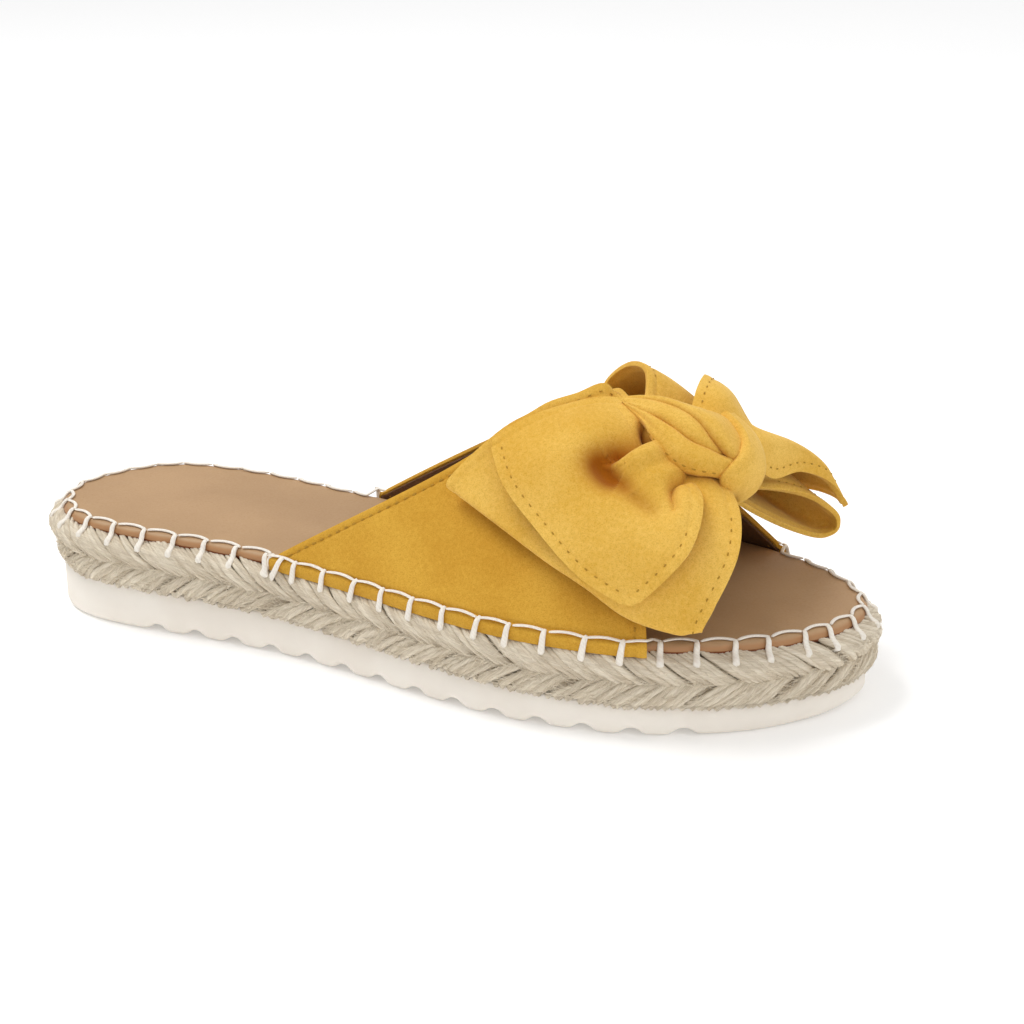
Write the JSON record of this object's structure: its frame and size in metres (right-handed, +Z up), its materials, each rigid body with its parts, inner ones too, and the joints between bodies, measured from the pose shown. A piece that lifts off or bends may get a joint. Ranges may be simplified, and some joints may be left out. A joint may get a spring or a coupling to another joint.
{
  "type": "flat sandal",
  "caption": "Right flat slide sandal with a ribbed foam outsole, plaited jute midsole, leather insole, broad suede band over the instep and a knotted ribbon bow on its crown",
  "frame": {"origin": "on the floor, under the middle of the box round the sandal", "axes": "+X to the toe, +Y to the medial side of this right shoe, +Z up from the floor"},
  "size_m": [0.2615, 0.0992, 0.087],
  "materials": {
    "foam": "matte moulded foam",
    "jute": "plaited natural fibre",
    "insole_leather": "smooth satin",
    "suede": "napped suede"
  },
  "bodies": {
    "root": {"outsole": "foam", "jute_midsole": "jute", "insole": "insole_leather", "band": "suede", "bow_knot": "suede", "bow_tail_lateral": "suede", "bow_loop_lateral": "suede", "bow_tail_medial": "suede", "bow_loop_medial": "suede"}
  },
  "joints": []
}
